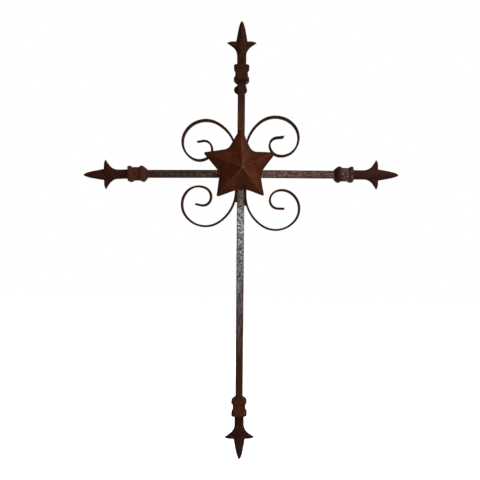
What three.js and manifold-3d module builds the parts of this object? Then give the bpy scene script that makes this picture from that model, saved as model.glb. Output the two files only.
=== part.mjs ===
// Wrought iron wall cross with spear ends, four scrolls and a pressed star over its crossing.
// Millimetres. X runs to the viewer's right, Y runs back to the wall and Z runs up.
// The origin is on the wall, at the flat back of the hanging ring, just above its hole.

import * as THREE from 'three';
import { mergeVertices } from 'three/addons/utils/BufferGeometryUtils.js';
import Module from 'manifold-3d';

const wasm = await Module();
wasm.setup();

// Reach of the four spear tips from the crossing of the bars
const topReach = 266;
const bottomReach = 496;
const leftReach = 273.5;
const rightReach = 274.2;

// Lean of the hand-set pieces, in degrees that turn anticlockwise seen from the front
const leftArmLean = 0.4;
const leftFinialLean = 1;
const bottomFinialLean = 0.7;

// Square bar, and the gap left where one piece is welded to another
const barSize = 12.7;
const barCornerEase = 0.8;
const weldGap = 0.3;

// Flat bar of the scrolls, bent the easy way, and how far its foot stands off the crossbar
const stripThickness = 3.5;
const stripDepth = 12.7;
const scrollFootGap = 2;
const scrollStepAngle = 6;

// Spear head: blade and shank, squarer toward the shank
const spearLength = 79;
const bladeLength = 35.4;
const bladeWidth = 18.4;
const bladeDepth = 12;
const bladeFullness = 0.63;
const bladeTipWidth = 1.2;
const bladeSquareness = 1.5;
const bladeRows = 6;
const shankWidth = 15;
const shankSquareness = 3.2;
const shankBlendShare = 0.6;
const shankRows = 3;
const spearSides = 16;
const spearOverlap = 1;

// The two barbs behind the blade
const barbSpan = 51;
const barbSweepBack = 3.2;
const barbSweepPower = 4;
const barbSlope = 55;
const barbFlareRadius = 20;
const barbFlareSteps = 4;
const barbEdgeSteps = 4;
const barbRootDepth = 8.5;
const barbTipDepth = 2.6;
const barbEdgeDepth = 1.2;
const barbRibPlace = 0.45;

// Collar that the bar end enters, as walls added round the bar
const collarLength = 29.5;
const flangeWall = 6.8;
const flangeLand = 3.2;
const flangeShoulder = 3.2;
const mouthWall = 5.6;
const waistWall = 4.4;
const neckWall = 1.7;
const neckTaper = 4.4;
const collarCornerShare = 0.85;
const collarCornerSteps = 2;
const socketClearance = 0.3;
const socketDepth = 24;

// Hanging ring behind the upright
const ringWidth = 23.2;
const ringHeight = 16.6;
const ringStock = 5;
const ringFrontEase = 1.6;
const ringBackEase = 0.5;
const ringOffAxis = 1.7;
const ringBelowCollar = 0.5;
const ringSteps = 28;

// Star pressed from sheet, its point pushed out off its middle
const starRadius = 68;
const starRise = 13.9;
const starLeft = 1.8;
const starHeight = 22;
const starPointRight = 5.8;
const starPointDrop = 5.4;
const starRim = 2;
const starSheet = 1.2;
const starPointSheet = 1.5;
const starTipRound = 2.4;
const starTipSteps = 2;
const starSideRound = 7.5;
const starTopRound = 14;
const starValleySteps = 5;

// Tips and valleys of the hand-finished star, as [share of its radius, degrees from the right]
const starTips = [[0.98, 89], [0.99, 161], [1, 234], [1.01, 309], [0.99, 380]];
const starValleys = [[0.515, 124], [0.545, 200], [0.58, 276], [0.56, 339], [0.47, 409]];

// Each scroll leaves the upright at its rise, runs through six bends and ends in a short
// straight. Rise, end and the bends' [radius, degrees] are shares of the scroll's first radius.
// Two were left with a slight twist in degrees, which is most at a share of their length and
// dies away over a share to each side.
const scrollRadius = 65;
const twistSpread = 0.16;
const scrolls = [
  {
    name: 'top_left_scroll', side: -1, up: 1, rise: 0.51, end: 0.15, twist: -8, twistAt: 1,
    bends: [[0.945, 63.5], [0.64, 87], [0.51, 91], [0.385, 68.5], [0.26, 85], [0.205, 66]],
  },
  {
    name: 'top_right_scroll', side: 1, up: 1, rise: 0.6, end: 0.2, twist: 0, twistAt: 1,
    bends: [[1, 51.5], [0.66, 82.5], [0.52, 70], [0.46, 70], [0.295, 79.5], [0.205, 90.5]],
  },
  {
    name: 'bottom_left_scroll', side: -1, up: -1, rise: 0.46, end: 0.16, twist: 8, twistAt: 0.78,
    bends: [[1, 57.5], [0.645, 89], [0.525, 73.5], [0.415, 78], [0.26, 86], [0.215, 77.5]],
  },
  {
    name: 'bottom_right_scroll', side: 1, up: -1, rise: 0.555, end: 0.17, twist: 0, twistAt: 1,
    bends: [[0.985, 58], [0.655, 85], [0.51, 95.5], [0.415, 55], [0.26, 68.5], [0.22, 87]],
  },
];

// Places that follow from the sizes
const barHalf = barSize / 2;
const wallStandoff = barHalf + flangeWall;
const finialLength = spearLength + collarLength;
const barEndFromTip = finialLength - socketDepth + socketClearance;
const ringTop = topReach - finialLength - ringBelowCollar;
const ringCentre = ringTop - ringHeight / 2;
const hangHeight = ringTop - ringStock / 2;
const starBack = Math.max(barSize, stripDepth) / 2 + weldGap;

const radians = THREE.MathUtils.degToRad;
const mix = THREE.MathUtils.lerp;

// Shares that climb to one in equal steps, without the zero
function climb(steps) {
  return Array.from({ length: steps }, (_, i) => (i + 1) / steps);
}

// A surface through rows of points. Each row has as many points and closes on itself.
function skin(rows, closed) {
  const count = rows[0].length;
  const positions = rows.flat().flatMap((p) => [p.x, p.y, p.z]);
  const faces = [];
  const last = closed ? rows.length : rows.length - 1;
  for (let i = 0; i < last; i += 1) {
    for (let j = 0; j < count; j += 1) {
      const a = i * count + j;
      const b = i * count + ((j + 1) % count);
      const c = ((i + 1) % rows.length) * count + j;
      const d = ((i + 1) % rows.length) * count + ((j + 1) % count);
      faces.push(a, b, d, a, d, c);
    }
  }
  if (!closed) {
    const end = (rows.length - 1) * count;
    for (let j = 1; j < count - 1; j += 1) {
      faces.push(0, j + 1, j, end, end + j, end + j + 1);
    }
  }
  const geometry = new THREE.BufferGeometry();
  geometry.setAttribute('position', new THREE.Float32BufferAttribute(positions, 3));
  geometry.setIndex(faces);
  return geometry;
}

// A closed geometry as a solid that can be joined and cut
function solid(geometry) {
  const bare = geometry.clone();
  bare.deleteAttribute('normal');
  bare.deleteAttribute('uv');
  const merged = mergeVertices(bare, 1e-4);
  return new wasm.Manifold(new wasm.Mesh({
    numProp: 3,
    vertProperties: new Float32Array(merged.attributes.position.array),
    triVerts: new Uint32Array(merged.index.array),
  }));
}

function geometryOf(body) {
  const mesh = body.getMesh();
  const geometry = new THREE.BufferGeometry();
  geometry.setAttribute('position', new THREE.BufferAttribute(mesh.vertProperties, 3));
  geometry.setIndex(new THREE.BufferAttribute(mesh.triVerts, 1));
  return geometry;
}

// Square bar with eased corners, from its end at zero up along Z
function squareBar(length) {
  const h = barHalf;
  const e = barHalf - barCornerEase;
  const corners = [[h, -e], [h, e], [e, h], [-e, h], [-h, e], [-h, -e], [-e, -h], [e, -h]];
  const row = (z) => corners.map(([x, y]) => new THREE.Vector3(x, y, z));
  return skin([row(0), row(length)], false);
}

// One level section of the spear: squareness 1 is a diamond, 2 an oval and more nears a square
function spearRow(width, depth, squareness, z) {
  return climb(spearSides).map((turn) => {
    const c = Math.cos(turn * Math.PI * 2);
    const s = Math.sin(turn * Math.PI * 2);
    const x = (width / 2) * Math.sign(c) * Math.abs(c) ** (2 / squareness);
    const y = (depth / 2) * Math.sign(s) * Math.abs(s) ** (2 / squareness);
    return new THREE.Vector3(x, y, z);
  });
}

// Blade and shank of the spear head, the blade with a ridge down each face
function spearCore() {
  const shankLength = spearLength - bladeLength;
  const shankSection = (run, z) => {
    const blend = THREE.MathUtils.smoothstep(1 - run, 0, shankBlendShare);
    return spearRow(
      mix(bladeWidth, shankWidth, blend),
      mix(bladeDepth, shankWidth, blend),
      mix(bladeSquareness, shankSquareness, blend),
      z,
    );
  };
  const shank = climb(shankRows).map((run) => shankSection(run, collarLength + shankLength * run));
  const blade = climb(bladeRows).slice(0, -1).map((run) => {
    const toTip = 1 - run;
    const taper = toTip ** bladeFullness;
    const z = finialLength - bladeLength * toTip;
    return spearRow(bladeWidth * taper, bladeDepth * taper, bladeSquareness, z);
  });
  return skin([
    shankSection(0, collarLength - spearOverlap),
    ...shank,
    ...blade,
    spearRow(bladeTipWidth, bladeTipWidth, bladeSquareness, finialLength),
  ], false);
}

// Both barbs as one plate, with a rib along each face and a hollow flare into the shank
function barbPlate() {
  const shankHalf = shankWidth / 2;
  const tip = barbSpan / 2;
  const root = bladeWidth / 2;
  const flare = radians(barbSlope);
  const flareReach = (share) => barbFlareRadius * (1 - Math.cos(flare * share));
  const flareEnd = shankHalf + flareReach(1);
  const bladeFoot = finialLength - bladeLength;
  const flareEndZ = bladeFoot - barbSweepBack - (tip - flareEnd) / Math.tan(flare);
  const frontZ = (x) => {
    const out = Math.max(0, (x - root) / (tip - root));
    return bladeFoot - barbSweepBack * out ** barbSweepPower;
  };
  const backZ = (x) => {
    if (x >= flareEnd) return flareEndZ + (x - flareEnd) / Math.tan(flare);
    const turn = Math.acos(Math.min(1, 1 - (x - shankHalf) / barbFlareRadius));
    return flareEndZ - barbFlareRadius * (Math.sin(flare) - Math.sin(turn));
  };
  const section = (x) => {
    const reach = Math.abs(x);
    const rib = mix(barbRootDepth, barbTipDepth, reach / tip) / 2;
    const edge = barbEdgeDepth / 2;
    const front = frontZ(reach);
    const back = reach < tip ? backZ(Math.max(reach, shankHalf)) : front - barbEdgeDepth;
    const middle = mix(front, back, barbRibPlace);
    return [[edge, back], [rib, middle], [edge, front], [-edge, front], [-rib, middle], [-edge, back]]
      .map(([y, z]) => new THREE.Vector3(x, y, z));
  };
  const flareStops = climb(barbFlareSteps).map((share) => shankHalf + flareReach(share));
  const edgeStops = climb(barbEdgeSteps).map((share) => mix(flareEnd, tip, share));
  const stops = [...flareStops, ...edgeStops];
  const across = [...stops.toReversed().map((x) => -x), 0, ...stops];
  return skin(across.map(section), false);
}

// One level section of the collar, a square with rounded corners
function collarRow(wall, z) {
  const radius = wall * collarCornerShare;
  const reach = (barHalf + wall - radius) * Math.SQRT2;
  return [0, 1, 2, 3].flatMap((corner) => [0, ...climb(collarCornerSteps)].map((share) => {
    const angle = radians(90 * (corner + share));
    const diagonal = radians(90 * corner + 45);
    return new THREE.Vector3(
      reach * Math.cos(diagonal) + radius * Math.cos(angle),
      reach * Math.sin(diagonal) + radius * Math.sin(angle),
      z,
    );
  }));
}

// Collar with a flange at each end, a hollow waist and a taper down to the bar
function collar() {
  const topLand = collarLength - flangeShoulder;
  const lowWaist = neckTaper + flangeLand + flangeShoulder;
  const highWaist = topLand - flangeLand - flangeShoulder;
  return skin([
    collarRow(neckWall, 0),
    collarRow(flangeWall, neckTaper),
    collarRow(flangeWall, neckTaper + flangeLand),
    collarRow(waistWall, lowWaist),
    collarRow(waistWall, highWaist),
    collarRow(flangeWall, topLand - flangeLand),
    collarRow(flangeWall, topLand),
    collarRow(mouthWall, collarLength),
  ], false);
}

// The whole casting: spear head on its collar, cut by a square box centred on the collar's
// mouth, whose upper half is the socket
function finial() {
  const mouth = barSize + socketClearance * 2;
  const socket = new THREE.BoxGeometry(mouth, mouth, socketDepth * 2);
  return geometryOf(
    solid(collar()).add(solid(spearCore())).add(solid(barbPlate())).subtract(solid(socket)),
  );
}

// Centre line of a scroll: a straight leg along the upright, its bends end to end, its end
function scrollLine({ side, up, rise, end, bends }) {
  const x = barHalf + weldGap + stripThickness / 2;
  const foot = barHalf + weldGap + scrollFootGap;
  let heading = Math.PI / 2;
  const at = new THREE.Vector2(x, rise * scrollRadius);
  const line = [{ x, z: foot, heading }, { x, z: at.y, heading }];
  for (const [share, sweep] of bends) {
    const steps = Math.ceil(sweep / scrollStepAngle);
    const turn = radians(sweep / steps);
    const chord = 2 * share * scrollRadius * Math.sin(turn / 2);
    for (let i = 0; i < steps; i += 1) {
      at.x += chord * Math.cos(heading - turn / 2);
      at.y += chord * Math.sin(heading - turn / 2);
      heading -= turn;
      line.push({ x: at.x, z: at.y, heading });
    }
  }
  const run = end * scrollRadius;
  line.push({ x: at.x + run * Math.cos(heading), z: at.y + run * Math.sin(heading), heading });
  return line.map((p) => ({
    place: new THREE.Vector3(side * p.x, 0, up * p.z),
    along: new THREE.Vector3(side * Math.cos(p.heading), 0, up * Math.sin(p.heading)),
  }));
}

function scroll(shape) {
  const line = scrollLine(shape);
  const rows = line.map(({ place, along }, i) => {
    const off = Math.min(1, Math.abs(i / (line.length - 1) - shape.twistAt) / twistSpread);
    const twist = radians(shape.twist) * (1 - THREE.MathUtils.smoothstep(off, 0, 1));
    const depth = new THREE.Vector3(0, 1, 0).applyAxisAngle(along, twist);
    const across = new THREE.Vector3().crossVectors(depth, along);
    return [[1, 1], [-1, 1], [-1, -1], [1, -1]].map(([u, v]) => place.clone()
      .addScaledVector(across, u * stripThickness / 2)
      .addScaledVector(depth, v * stripDepth / 2));
  });
  return skin(rows, false);
}

// Oval ring with a flat back on the wall and a rounder front against the upright
function hangingRing() {
  const half = ringStock / 2;
  const back = wallStandoff;
  const front = barHalf + weldGap;
  const section = [
    [half, back - ringBackEase], [half - ringBackEase, back],
    [-half + ringBackEase, back], [-half, back - ringBackEase],
    [-half, front + ringFrontEase], [-half + ringFrontEase, front],
    [half - ringFrontEase, front], [half, front + ringFrontEase],
  ];
  const rows = climb(ringSteps).map((share) => section.map(([out, y]) => new THREE.Vector3(
    (ringWidth / 2 - half + out) * Math.cos(share * Math.PI * 2) - ringOffAxis,
    y,
    (ringHeight / 2 - half + out) * Math.sin(share * Math.PI * 2) + ringCentre,
  )));
  return skin(rows, true);
}

// Points of a rounded corner on an outline, in steps
function roundedCorner(before, corner, after, radius, steps) {
  const back = before.clone().sub(corner).normalize();
  const on = after.clone().sub(corner).normalize();
  const half = Math.acos(THREE.MathUtils.clamp(back.dot(on), -1, 1)) / 2;
  const centre = back.clone().add(on).normalize()
    .multiplyScalar(radius / Math.sin(half)).add(corner);
  const start = back.multiplyScalar(radius / Math.tan(half)).add(corner).sub(centre);
  const end = on.multiplyScalar(radius / Math.tan(half)).add(corner).sub(centre);
  const sweep = Math.atan2(start.cross(end), start.dot(end));
  return [0, ...climb(steps)].map((share) => {
    return start.clone().rotateAround(new THREE.Vector2(), sweep * share).add(centre);
  });
}

// Outline of the star drawn in by an inset, tips and valleys rounded
function starOutline(inset) {
  const corners = starTips.flatMap((tip, i) => [tip, starValleys[i]]).map(([share, degrees]) => {
    const angle = radians(degrees);
    return new THREE.Vector2(Math.cos(angle), Math.sin(angle)).multiplyScalar(starRadius * share);
  });
  const near = (list, i) => list[(i + list.length) % list.length];
  const drawnIn = corners.map((corner, i) => {
    const ahead = near(corners, i + 1).clone().sub(corner).normalize();
    const behind = corner.clone().sub(near(corners, i - 1)).normalize();
    const inward = new THREE.Vector2(-ahead.y - behind.y, ahead.x + behind.x);
    return corner.clone().addScaledVector(inward, inset / (1 + ahead.dot(behind)));
  });
  return drawnIn.flatMap((corner, i) => {
    const before = near(drawnIn, i - 1);
    const after = near(drawnIn, i + 1);
    if (i % 2 === 0) return roundedCorner(before, corner, after, starTipRound, starTipSteps);
    const radius = (corner.y > 0 ? starTopRound : starSideRound) + inset;
    return roundedCorner(before, corner, after, radius, starValleySteps);
  });
}

// Hollow pressed star: facets up to its point, a short rim and the same shape inside
function star() {
  const point = new THREE.Vector2(starPointRight, -starPointDrop);
  const row = (outline, front) => outline.map((p) => {
    return new THREE.Vector3(p.x - starLeft, -starBack - front, p.y + starRise);
  });
  const outer = starOutline(0);
  const inner = starOutline(starSheet);
  const shell = skin([
    row(inner.map(() => point), starHeight - starPointSheet),
    row(inner, starRim - starSheet / 2),
    row(inner, 0),
    row(outer, 0),
    row(outer, starRim),
    row(outer.map(() => point), starHeight),
  ], false);
  return geometryOf(solid(shell));
}

// Finishes: forged bar worn grey, rusted strip, dark rusty castings and orange rusted sheet
function iron(colour, roughness, metalness) {
  return new THREE.MeshStandardMaterial({ color: colour, roughness, metalness });
}
const wornBar = iron(0x5f5149, 0.45, 0.7);
const rustedStrip = iron(0x3f2217, 0.6, 0.5);
const darkCasting = iron(0x4a2d22, 0.6, 0.5);
const rustedSheet = iron(0x5c2a16, 0.6, 0.4);

function piece(name, geometry, material) {
  const mesh = new THREE.Mesh(geometry, material);
  mesh.name = name;
  return mesh;
}

// Bars and castings, each limb built along the Z axis of a group that is turned to its side
const frame = new THREE.Group();
const casting = finial();
const limbs = [
  { name: 'top', angle: 0, reach: topReach, headLean: 0 },
  { name: 'right', angle: 90, reach: rightReach, headLean: 0 },
  { name: 'bottom', angle: 180, reach: bottomReach, headLean: bottomFinialLean },
  { name: 'left', angle: -90 - leftArmLean, reach: leftReach, headLean: leftFinialLean },
];
for (const { name, angle, reach, headLean } of limbs) {
  const limb = new THREE.Group();
  limb.rotation.y = radians(angle);
  const seat = new THREE.Group();
  seat.position.z = reach - finialLength + socketDepth / 2;
  seat.rotation.y = radians(-headLean);
  const head = piece(`${name}_finial`, casting, darkCasting);
  head.position.z = -socketDepth / 2;
  seat.add(head);
  limb.add(seat);
  if (name === 'left' || name === 'right') {
    const start = barHalf + weldGap;
    const arm = piece(`${name}_arm`, squareBar(reach - barEndFromTip - start), wornBar);
    arm.position.z = start;
    limb.add(arm);
  }
  frame.add(limb);
}

const uprightLength = topReach + bottomReach - 2 * barEndFromTip;
const upright = piece('upright', squareBar(uprightLength), wornBar);
upright.position.z = barEndFromTip - bottomReach;
frame.add(upright);

for (const shape of scrolls) {
  frame.add(piece(shape.name, scroll(shape), rustedStrip));
}
frame.add(piece('star', star(), rustedSheet));
frame.add(piece('hanging_ring', hangingRing(), darkCasting));

frame.position.set(ringOffAxis, -wallStandoff, -hangHeight);
const cross = new THREE.Group();
cross.add(frame);

export default cross;
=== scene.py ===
# %% [markdown]
# # A wrought iron wall cross
#
# The cross is a blacksmith's assembly. Two square bars make its limbs, a cast spear end closes
# each limb, four flat-bar scrolls fill the corners, a pressed sheet star covers the crossing,
# and a small ring behind the upright takes the nail.
#
# It could be drawn as one mesh, but then no piece could be measured, changed or finished by
# itself. So every piece is a mesh of its own, made in the place where the solid model of the
# cross has it, and the first step is to load that model as the frame.

# %% Load the frame
import math

import bmesh
import bpy
import numpy as np
from mathutils import Matrix, Vector, noise


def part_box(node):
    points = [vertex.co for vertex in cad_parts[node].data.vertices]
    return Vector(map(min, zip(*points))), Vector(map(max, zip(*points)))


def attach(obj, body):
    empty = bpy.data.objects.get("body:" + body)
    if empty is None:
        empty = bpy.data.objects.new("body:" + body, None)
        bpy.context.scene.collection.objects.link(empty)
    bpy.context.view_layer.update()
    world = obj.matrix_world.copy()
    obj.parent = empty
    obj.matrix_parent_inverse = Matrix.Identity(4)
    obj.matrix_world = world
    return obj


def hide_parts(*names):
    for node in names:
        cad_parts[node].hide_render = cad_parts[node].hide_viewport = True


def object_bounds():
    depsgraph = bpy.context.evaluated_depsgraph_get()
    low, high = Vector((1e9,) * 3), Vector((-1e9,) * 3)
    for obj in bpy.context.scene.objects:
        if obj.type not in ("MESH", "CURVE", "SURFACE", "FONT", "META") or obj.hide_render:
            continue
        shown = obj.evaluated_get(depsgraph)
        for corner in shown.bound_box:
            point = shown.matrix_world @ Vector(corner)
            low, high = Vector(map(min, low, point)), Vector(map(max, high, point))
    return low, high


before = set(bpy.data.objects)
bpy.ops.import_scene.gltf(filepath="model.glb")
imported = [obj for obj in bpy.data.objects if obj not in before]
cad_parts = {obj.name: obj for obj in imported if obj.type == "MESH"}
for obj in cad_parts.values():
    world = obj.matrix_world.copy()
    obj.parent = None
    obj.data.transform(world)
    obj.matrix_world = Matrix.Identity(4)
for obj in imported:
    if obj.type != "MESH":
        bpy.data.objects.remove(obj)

mm = 0.001
cad_low, cad_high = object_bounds()
cad_size = (cad_high - cad_low) / mm
print("nodes:", ", ".join(sorted(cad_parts)))
print("overall, mm:", [round(side, 1) for side in cad_size])

# %% [markdown]
# ## Where things are
#
# A smith speaks in millimetres, so all lengths below are in millimetres, and `mm` turns them
# to metres only when a mesh or a light is made. The natural centre of the work is the crossing
# of the bars. Its place could be typed in, but it would be wrong as soon as the solid model
# changed. So it is read from the frame: the upright gives left and right and front to back,
# and the right arm gives the height.

# %% Find the crossing of the bars
up_low, up_high = (np.array(corner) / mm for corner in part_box("upright"))
arm_low, arm_high = (np.array(corner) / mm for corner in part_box("right_arm"))
bar_size = up_high[0] - up_low[0]
bar_half = bar_size / 2
crossing = np.array([
    (up_low[0] + up_high[0]) / 2,
    (up_low[1] + up_high[1]) / 2,
    (arm_low[2] + arm_high[2]) / 2,
])
print("bar:", round(bar_size, 2), "mm, crossing at", crossing.round(2))

# %% [markdown]
# ## The camera
#
# The photograph was taken from close by, less than a metre off and a little below the
# crossing. That shows in the scrolls: they are deep strips of iron, and only a near eye looks
# so far along their sides. One could try lenses until the picture fits, but perspective comes
# from the place of the camera alone. So the place is set first, and the lens then follows
# from how large the cross is in the picture.
#
# The whole cross hangs a touch clockwise on its nail. The model is kept true, and the camera
# leans the other way by the same angle.

# %% Place the camera
picture = 480
eye_distance = 882.4
eye_right = 13.4
eye_below = 113.0
focal_pixels = 507.3
centre_right, centre_up = 8, 1
hang_tilt = 0.45
film_width = 36
nearest_seen, farthest_seen = 10, 50_000

camera_data = bpy.data.cameras.new("camera")
camera_data.sensor_width = film_width
camera_data.lens = focal_pixels * film_width / picture
camera_data.shift_x = -centre_right / picture
camera_data.shift_y = -centre_up / picture
camera_data.clip_start = nearest_seen * mm
camera_data.clip_end = farthest_seen * mm
camera = bpy.data.objects.new("camera", camera_data)
scene = bpy.context.scene
scene.collection.objects.link(camera)
eye = crossing + [eye_right, -eye_distance, -eye_below]
forward = Matrix.Rotation(math.radians(90), 4, "X")
lean = Matrix.Rotation(math.radians(hang_tilt), 4, "Z")
camera.matrix_world = Matrix.Translation(eye * mm) @ forward @ lean
scene.camera = camera
print("lens:", round(camera_data.lens, 2), "mm, eye at", eye.round(1))

# %% [markdown]
# ## The white tent
#
# Rusty iron is dark and takes its shape from soft light, so a photographer hangs a white tent
# round it. A tent could be a real dome of cloth lit from outside, but the world's background
# does the same with no mesh at all. A light path node splits it in two: the camera sees plain
# white, and the iron gets a dimmer glow. With a full white glow, the gloss on every edge would
# wash the brown away.

# %% Hang the white tent
tent_glow = 0.3
tent_white = (1.0, 0.985, 0.97, 1)
white = (1, 1, 1, 1)
scene.view_settings.view_transform = "Standard"
scene.view_settings.look = "None"
world = bpy.data.worlds.new("white tent")
scene.world = world
world.use_nodes = True
sky = world.node_tree
sky.nodes.clear()


def sky_light(light_colour, strength):
    """An even light from all round."""
    light = sky.nodes.new("ShaderNodeBackground")
    light.inputs["Color"].default_value = light_colour
    light.inputs["Strength"].default_value = strength
    return light.outputs["Background"]


path = sky.nodes.new("ShaderNodeLightPath")
choose = sky.nodes.new("ShaderNodeMixShader")
sky_out = sky.nodes.new("ShaderNodeOutputWorld")
sky.links.new(path.outputs["Is Camera Ray"], choose.inputs["Fac"])
sky.links.new(sky_light(tent_white, tent_glow), choose.inputs[1])
sky.links.new(sky_light(white, 1), choose.inputs[2])
sky.links.new(choose.outputs["Shader"], sky_out.inputs["Surface"])
print("tent glow:", tent_glow)

# %% [markdown]
# ## The lamps
#
# A tent alone leaves a form flat, because it lights all sides alike. A large soft panel on the
# right gives the facets of the star their difference, and a small lamp close above the eye
# picks out the bare metal where the upright is rubbed. A third panel stands behind the cross,
# for whoever walks round it. From the front it would hide the white, so the camera doesn't
# see it. Lamps without size would be simpler, but their hard light doesn't suit a tent.


# %% Set up the lamps
def panel(name, width, power, place):
    """A square soft light at a place in millimetres, facing the middle of the cross."""
    data = bpy.data.lights.new(name, "AREA")
    data.shape = "SQUARE"
    data.size = width * mm
    data.energy = power
    light = bpy.data.objects.new(name, data)
    scene.collection.objects.link(light)
    aim = Vector(middle) - Vector(place)
    turn = aim.to_track_quat("-Z", "Y").to_matrix().to_4x4()
    light.matrix_world = Matrix.Translation(Vector(place) * mm) @ turn
    print(f"{name}: {width} mm wide, {power} W, {aim.length:.0f} mm off")
    return light


middle_below_crossing = 60
lamp_above_eye = 50
middle = crossing - [0, 0, middle_below_crossing]
panel("side panel", 900, 23, crossing + [1000, -800, 850])
panel("lens lamp", 60, 1.1, eye + [0, 0, lamp_above_eye])
back_panel = panel("back panel", 500, 8, crossing + [0, 1500, 100])
back_panel.visible_camera = False

# %% [markdown]
# ## The floor
#
# The cross hangs in the open, with no wall behind it. The tent glows from below as well, so a
# floor could be left out, but that glow is weak. A pale floor under the lowest spear catches
# the light of the side panel and sends it back up, as a white table would, and so the lower
# sides of the scrolls keep their brown. To look as white as the tent, the floor also glows,
# and only for the camera, so that no light is added to the iron.

# %% Lay the floor
floor_drop = 70
floor_reach = 3000
floor_white = (0.9, 0.9, 0.9, 1)
floor_dullness = 0.9
floor_glow = 0.75
floor_z = cad_low.z - floor_drop * mm
reach = floor_reach * mm
floor_corners = [(x * reach, y * reach, floor_z) for x, y in ((-1, -1), (1, -1), (1, 1), (-1, 1))]
floor_mesh = bpy.data.meshes.new("floor")
floor_mesh.from_pydata(floor_corners, [], [(0, 1, 2, 3)])
floor = bpy.data.objects.new("floor", floor_mesh)
scene.collection.objects.link(floor)

pale = bpy.data.materials.new("pale floor")
pale.use_nodes = True
pale_tree = pale.node_tree
pale_shader = pale_tree.nodes["Principled BSDF"]
pale_shader.inputs["Base Color"].default_value = floor_white
pale_shader.inputs["Roughness"].default_value = floor_dullness
pale_shader.inputs["Emission Color"].default_value = white
lift = pale_tree.nodes.new("ShaderNodeMath")
lift.operation = "MULTIPLY"
lift.inputs[1].default_value = floor_glow
floor_path = pale_tree.nodes.new("ShaderNodeLightPath")
pale_tree.links.new(floor_path.outputs["Is Camera Ray"], lift.inputs[0])
pale_tree.links.new(lift.outputs["Value"], pale_shader.inputs["Emission Strength"])
floor_mesh.materials.append(pale)
print("floor at", round(floor_z / mm), "mm")

# %% [markdown]
# ## Working the iron
#
# Most forged pieces are a section carried along a line: a square along a bar, a flat along a
# scroll, a round along a weld. A curve with a bevel can do that, but its section can only
# grow or shrink on its way. So one helper, `skin`, lays faces between rows of points, and
# serves every piece of the cross. A second, `forge`, turns its points and faces into a mesh.


# %% Skin rows of points
def skin(rows, closed=False):
    """Points and faces of a surface through rows that each close on themselves, with flat ends."""
    count = len(rows[0])
    points = np.concatenate(rows)
    faces = []
    last = len(rows) if closed else len(rows) - 1
    for i in range(last):
        here = i * count
        ahead = (i + 1) % len(rows) * count
        for j in range(count):
            k = (j + 1) % count
            faces.append((here + j, here + k, ahead + k, ahead + j))
    if not closed:
        faces.append(tuple(range(count))[::-1])
        faces.append(tuple(range(len(points) - count, len(points))))
    return points, faces


square = np.array([[0, 0, 0], [1, 0, 0], [1, 1, 0], [0, 1, 0]])
cube_points, cube_faces = skin([square, square + [0, 0, 1]])
print("skin of a cube:", len(cube_points), "points,", len(cube_faces), "faces")


# %% Make a mesh piece from millimetres
def forge(name, points, faces):
    """A mesh object from points in millimetres, its faces turned outward and smooth."""
    mesh = bpy.data.meshes.new(name)
    mesh.from_pydata((np.asarray(points) * mm).tolist(), [], faces)
    work = bmesh.new()
    work.from_mesh(mesh)
    bmesh.ops.recalc_face_normals(work, faces=work.faces)
    work.to_mesh(mesh)
    work.free()
    mesh.shade_smooth()
    piece = bpy.data.objects.new(name, mesh)
    scene.collection.objects.link(piece)
    return piece


# %% [markdown]
# ## Hammering
#
# Real iron is never flat: a hammer leaves shallow dents, and sand leaves grain. A bump in the
# finish would fool the eye inside a face, but not along the outline, where a thin bar shows
# most. So `hammer` moves the points of the mesh themselves, along their normals, by smooth
# noise. Each piece has a seed of its own, which shifts the noise, so no two pieces match.


# %% Read and write the points of a piece
def points_of(piece):
    """The points of a piece, one per row, in millimetres."""
    values = np.empty(len(piece.data.vertices) * 3)
    piece.data.vertices.foreach_get("co", values)
    return values.reshape(-1, 3) / mm


def move_points(piece, points):
    """Puts the points of a piece at new places in millimetres."""
    piece.data.vertices.foreach_set("co", (np.asarray(points) * mm).ravel())
    piece.data.update()


def normals_of(piece):
    """The direction that faces away from the iron at each point."""
    values = np.empty(len(piece.data.vertices) * 3)
    piece.data.vertices.foreach_get("normal", values)
    return values.reshape(-1, 3)


# %% Hammer a surface
seed_steps = (17.3, 5.1, 9.7)


def hammer(piece, depth, dent, seed, inward=0.0):
    """Moves the surface in and out by up to depth, in dents of about the given width in mm."""
    points = points_of(piece)
    shift = Vector([seed * step for step in seed_steps])
    wave = np.array([noise.noise(Vector(p) + shift) for p in points / dent])
    move_points(piece, points + normals_of(piece) * ((wave - inward) * depth)[:, None])


print("each seed moves the noise by", seed_steps, "dents")


# %% [markdown]
# ## Measuring edges
#
# Rust gathers in hollows, and hands rub the edges. A painted image could show that, but it
# would have to be painted again after every change of a size. Here the mesh measures itself:
# along each edge of the mesh, `mark_edges` compares the normal with the way to the next
# point. Where the surface turns away, the point lies on an edge of the iron, and how fast it
# turns is stored as a number that the finishes can read.


# %% Measure how sharply the surface turns
def store(piece, measure, values):
    """Keeps one number for each point of a piece, under a name that a finish can read."""
    piece.data.attributes.new(measure, "FLOAT", "POINT").data.foreach_set("value", values)


def mark_edges(piece, spread=2):
    """Stores how convex each point is, in turns per millimetre, as the measure edge."""
    points, normals = points_of(piece), normals_of(piece)
    pairs = np.empty(len(piece.data.edges) * 2, int)
    piece.data.edges.foreach_get("vertices", pairs)
    pairs = np.concatenate([pairs.reshape(-1, 2), pairs.reshape(-1, 2)[:, ::-1]])
    start, end = pairs.T
    step = points[end] - points[start]
    turn = -(normals[start] * step).sum(1) / np.maximum((step ** 2).sum(1), 1e-6)
    hits = np.maximum(np.bincount(start, minlength=len(points)), 1)
    sharp = np.bincount(start, turn, len(points)) / hits
    for _ in range(spread):
        sharp = (sharp + np.bincount(start, sharp[end], len(points)) / hits) / 2
    store(piece, "edge", sharp)


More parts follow.
